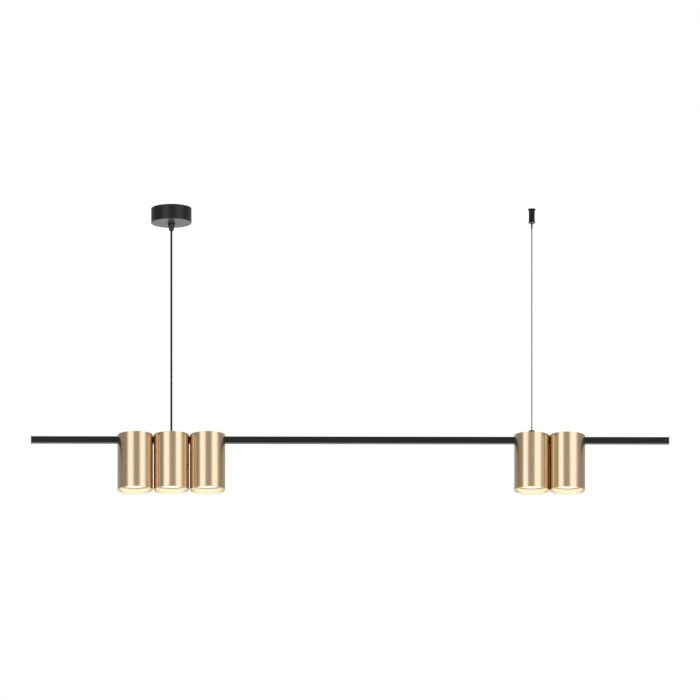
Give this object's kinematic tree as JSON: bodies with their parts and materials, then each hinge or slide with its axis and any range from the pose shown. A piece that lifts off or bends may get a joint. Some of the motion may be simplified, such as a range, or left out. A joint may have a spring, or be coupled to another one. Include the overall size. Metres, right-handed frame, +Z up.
{
  "type": "linear island pendant light",
  "caption": "Slim black square bar hung from a canopy cable and a gripper wire, carrying grouped brushed-brass cylinder downlights with flat twist-lock lamps.",
  "frame": {"origin": "on the ceiling plane, at the centre of the canopy bracket's two fixing slots", "axes": "+Z up into the ceiling, +X along the bar from the cable towards the suspension wire, +Y to the back as the picture sees it"},
  "size_m": [1.5, 0.095, 0.6816],
  "materials": {
    "black_paint": "semi-gloss black powder coat",
    "black_satin": "deep black anodised, satin",
    "black_screw": "blackened steel",
    "black_plastic": "fine matt black",
    "black_sheath": "smooth black cable sheath",
    "wire_steel": "stranded steel wire, darkened",
    "brushed_brass": "finely brushed, lacquered",
    "zinc_plated_steel": "zinc plated",
    "screw_steel": "plain steel",
    "contact_brass": "bright brass",
    "white_plastic": "natural polyamide",
    "core_brown": "insulated conductor",
    "core_blue": "insulated conductor",
    "lamp_housing": "white moulded housing",
    "opal_diffuser": "opal, lit from behind in use"
  },
  "bodies": {
    "ceiling_fittings": {"ceiling_bracket": "zinc_plated_steel", "canopy": "black_paint", "canopy_screws": "black_screw", "terminal_block": "white_plastic", "terminal_screws": "screw_steel", "ceiling_cores": "core_brown", "cable_head": "black_sheath", "cord_grip_locknut": "black_plastic", "cord_grip_body": "black_plastic", "cord_grip_cap": "black_plastic", "gripper_anchor": "black_satin", "gripper_body": "black_satin", "gripper_spring": "screw_steel", "wire_head": "wire_steel"},
    "gripper_release": {"gripper_sleeve": "black_satin", "gripper_balls": "screw_steel"},
    "hanger": {"hanger_bends": "black_sheath"},
    "cable": {"power_cable": "black_sheath"},
    "wire": {"suspension_wire": "wire_steel"},
    "light_bar": {"bar": "black_paint", "bar_end_caps": "black_plastic", "cable_entry": "black_plastic", "cable_foot": "black_sheath", "wire_anchor": "black_satin", "wire_foot": "wire_steel", "shade_screws": "black_screw", "stem_bosses": "black_paint", "stems": "zinc_plated_steel", "stem_nuts": "zinc_plated_steel", "holder_bridges": "zinc_plated_steel", "holder_screws": "screw_steel", "holder_contacts": "contact_brass", "loom_live": "core_brown", "loom_neutral": "core_blue", "shade_1": "brushed_brass", "shade_2": "brushed_brass", "shade_3": "brushed_brass", "shade_4": "brushed_brass", "shade_5": "brushed_brass", "lampholder_1": "black_plastic", "lampholder_2": "black_plastic", "lampholder_3": "black_plastic", "lampholder_4": "black_plastic", "lampholder_5": "black_plastic"},
    "lamp_1": {"lamp_body_1": "lamp_housing", "lamp_diffuser_1": "opal_diffuser", "lamp_pins_1": "contact_brass"},
    "lamp_2": {"lamp_body_2": "lamp_housing", "lamp_diffuser_2": "opal_diffuser", "lamp_pins_2": "contact_brass"},
    "lamp_3": {"lamp_body_3": "lamp_housing", "lamp_diffuser_3": "opal_diffuser", "lamp_pins_3": "contact_brass"},
    "lamp_4": {"lamp_body_4": "lamp_housing", "lamp_diffuser_4": "opal_diffuser", "lamp_pins_4": "contact_brass"},
    "lamp_5": {"lamp_body_5": "lamp_housing", "lamp_diffuser_5": "opal_diffuser", "lamp_pins_5": "contact_brass"}
  },
  "joints": [
    {"name": "pendant_swing", "type": "hinge", "parent": "ceiling_fittings", "child": "hanger", "pos_m": [0, 0, -0.049], "axis": [1, 0, 0], "range_deg": [-12, 12]},
    {"name": "cable_sway", "type": "hinge", "parent": "hanger", "child": "cable", "pos_m": [0, 0, -0.049], "axis": [0, 1, 0], "range_deg": [-6, 6]},
    {"name": "bar_level", "type": "hinge", "parent": "cable", "child": "light_bar", "pos_m": [0, 0, -0.544], "axis": [0, 1, 0], "range_deg": [-6, 6]},
    {"name": "wire_sway", "type": "hinge", "parent": "hanger", "child": "wire", "pos_m": [0.847, 0, -0.049], "axis": [0, 1, 0], "range_deg": [-6, 6]},
    {"name": "gripper_release_push", "type": "slide", "parent": "ceiling_fittings", "child": "gripper_release", "axis": [0, 0, 1], "range_m": [0, 0.0025], "stiffness_N_per_m": 400, "springref_m": -0.002, "deforming": ["gripper_spring"]},
    {"name": "lamp_1_twist", "type": "hinge", "parent": "light_bar", "child": "lamp_1", "pos_m": [-0.085, 0, -0.6676], "axis": [0, 0, 1], "range_deg": [-15, 0]},
    {"name": "lamp_2_twist", "type": "hinge", "parent": "light_bar", "child": "lamp_2", "pos_m": [0, 0, -0.6676], "axis": [0, 0, 1], "range_deg": [-15, 0]},
    {"name": "lamp_3_twist", "type": "hinge", "parent": "light_bar", "child": "lamp_3", "pos_m": [0.085, 0, -0.6676], "axis": [0, 0, 1], "range_deg": [-15, 0]},
    {"name": "lamp_4_twist", "type": "hinge", "parent": "light_bar", "child": "lamp_4", "pos_m": [0.847, 0, -0.6676], "axis": [0, 0, 1], "range_deg": [-15, 0]},
    {"name": "lamp_5_twist", "type": "hinge", "parent": "light_bar", "child": "lamp_5", "pos_m": [0.9306, 0, -0.6676], "axis": [0, 0, 1], "range_deg": [-15, 0]}
  ],
  "couplings": [
    {"joint": "bar_level", "follows": "cable_sway", "ratio": -1},
    {"joint": "wire_sway", "follows": "cable_sway", "ratio": 1}
  ]
}
